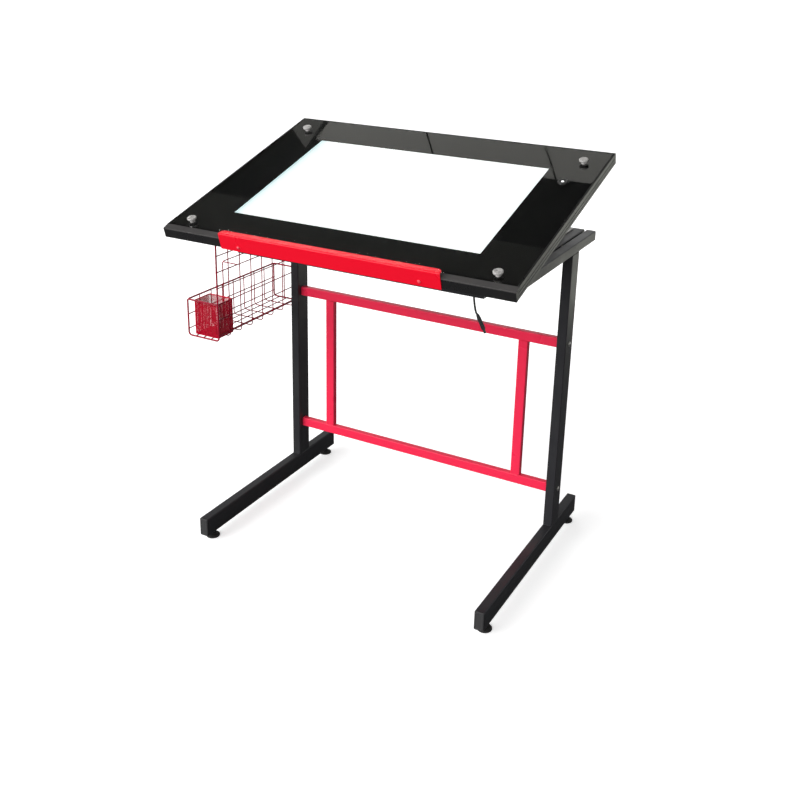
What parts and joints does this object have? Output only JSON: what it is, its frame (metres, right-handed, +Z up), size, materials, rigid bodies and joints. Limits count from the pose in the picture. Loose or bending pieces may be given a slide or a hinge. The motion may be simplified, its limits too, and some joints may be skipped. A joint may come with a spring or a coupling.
{
  "type": "animation light table",
  "caption": "Tilting backlit drawing board on a black steel desk frame, with a red paper stop, a red stretcher frame, a wire side basket and a mesh pen cup.",
  "frame": {"origin": "on the floor, under the middle of the outline of the whole table without its lead", "axes": "+Z up, +Y from the worker's side to the back, +X to the worker's right"},
  "size_m": [0.8546, 0.5814, 0.9217],
  "materials": {
    "frame_black": "satin black powder coat",
    "grey_plastic": "dark grey moulded plastic",
    "black_plastic": "black moulded plastic",
    "red_paint": "glossy red paint",
    "zinc_steel": "bright zinc plate",
    "tray_black": "satin charcoal paint",
    "trim_grey": "satin dark grey",
    "glass": "polished, black behind its border",
    "mask_black": "black printed film",
    "diffuser_white": "lit white diffuser",
    "clear_acrylic": "clear acrylic",
    "reflector_white": "matt white",
    "lamp_strip": "lamp strip",
    "frame_wood": "painted fibreboard",
    "circuit_green": "circuit board",
    "chrome": "polished",
    "lead_rubber": "matt black",
    "wire_red": "red coated wire",
    "mesh_red": "red coated metal mesh"
  },
  "bodies": {
    "desk_frame": {"left_foot": "frame_black", "right_foot": "frame_black", "foot_end_caps": "grey_plastic", "left_upright": "frame_black", "right_upright": "frame_black", "left_top_rail": "frame_black", "right_top_rail": "frame_black", "rail_end_caps": "black_plastic", "upper_stretcher": "red_paint", "lower_stretcher": "red_paint", "stretcher_stiles": "red_paint", "stretcher_bolts": "zinc_steel", "threaded_inserts": "zinc_steel", "left_side_tube": "frame_black", "right_side_tube": "frame_black", "front_cross_beam": "frame_black", "rear_cross_beam": "frame_black", "frame_bolts": "zinc_steel", "frame_spacers": "zinc_steel", "hinge_brackets": "frame_black", "hinge_pins": "zinc_steel", "left_stay_track": "zinc_steel", "right_stay_track": "zinc_steel"},
    "board": {"tray_shell": "tray_black", "front_trim": "trim_grey", "glass_top": "glass", "border_mask": "mask_black", "diffuser": "diffuser_white", "light_guide": "clear_acrylic", "reflector": "reflector_white", "led_strips": "lamp_strip", "panel_frame": "frame_wood", "driver_board": "circuit_green", "board_hinge_plates": "frame_black", "stay_brackets": "frame_black", "stay_pivot_pins": "zinc_steel", "glass_screws": "chrome", "screw_sleeves": "zinc_steel", "dimmer_bezel": "chrome", "paper_stop": "red_paint", "paper_stop_screws": "red_paint", "cable_gland": "black_plastic", "power_lead": "lead_rubber", "lead_connector": "black_plastic"},
    "dimmer_cap": {"dimmer_button": "black_plastic"},
    "left_stay": {"left_stay_arm": "zinc_steel"},
    "right_stay": {"right_stay_arm": "zinc_steel"},
    "left_knob": {"left_clamp_knob": "black_plastic"},
    "right_knob": {"right_clamp_knob": "black_plastic"},
    "basket": {"basket_back": "wire_red", "basket_hooks": "wire_red", "basket_floor": "wire_red", "basket_outer_wall": "wire_red", "basket_rim": "wire_red", "basket_divider": "wire_red"},
    "cup": {"pen_cup": "mesh_red"},
    "front_left_foot_screw": {"front_left_leveller": "black_plastic"},
    "front_right_foot_screw": {"front_right_leveller": "black_plastic"},
    "rear_left_foot_screw": {"rear_left_leveller": "black_plastic"},
    "rear_right_foot_screw": {"rear_right_leveller": "black_plastic"}
  },
  "joints": [
    {"name": "board_tilt", "type": "hinge", "parent": "desk_frame", "child": "board", "pos_m": [0.0273, -0.16628, 0.752], "axis": [1, 0, 0], "range_deg": [-17, 23]},
    {"name": "left_stay_swing", "type": "hinge", "parent": "board", "child": "left_stay", "pos_m": [-0.2718, 0.02976, 0.81194], "axis": [1, 0, 0], "range_deg": [-46, 34]},
    {"name": "right_stay_swing", "type": "hinge", "parent": "board", "child": "right_stay", "pos_m": [0.3264, 0.02976, 0.81194], "axis": [1, 0, 0], "range_deg": [-46, 34]},
    {"name": "left_clamp_turn", "type": "hinge", "parent": "left_stay", "child": "left_knob", "pos_m": [-0.2527, 0.2258, 0.752], "axis": [1, 0, 0], "range_deg": [0, 360]},
    {"name": "right_clamp_turn", "type": "hinge", "parent": "right_stay", "child": "right_knob", "pos_m": [0.3073, 0.2258, 0.752], "axis": [-1, 0, 0], "range_deg": [0, 360]},
    {"name": "dimmer_press", "type": "slide", "parent": "board", "child": "dimmer_cap", "axis": [0, 0.2924, -0.9563], "range_m": [0, 0.0015], "stiffness_N_per_m": 500, "springref_m": -0.0006},
    {"name": "basket_lift", "type": "slide", "parent": "desk_frame", "child": "basket", "axis": [0, 0, 1], "range_m": [0, 0.02]},
    {"name": "cup_lift", "type": "slide", "parent": "basket", "child": "cup", "axis": [0, 0, 1], "range_m": [0, 0.085]},
    {"name": "front_left_levelling", "type": "slide", "parent": "desk_frame", "child": "front_left_foot_screw", "axis": [0, 0, -1], "range_m": [-0.004, 0.012]},
    {"name": "front_right_levelling", "type": "slide", "parent": "desk_frame", "child": "front_right_foot_screw", "axis": [0, 0, -1], "range_m": [-0.004, 0.012]},
    {"name": "rear_left_levelling", "type": "slide", "parent": "desk_frame", "child": "rear_left_foot_screw", "axis": [0, 0, -1], "range_m": [-0.004, 0.012]},
    {"name": "rear_right_levelling", "type": "slide", "parent": "desk_frame", "child": "rear_right_foot_screw", "axis": [0, 0, -1], "range_m": [-0.004, 0.012]}
  ],
  "couplings": [
    {"joint": "left_stay_swing", "follows": "board_tilt", "ratio": -2},
    {"joint": "right_stay_swing", "follows": "board_tilt", "ratio": -2}
  ]
}
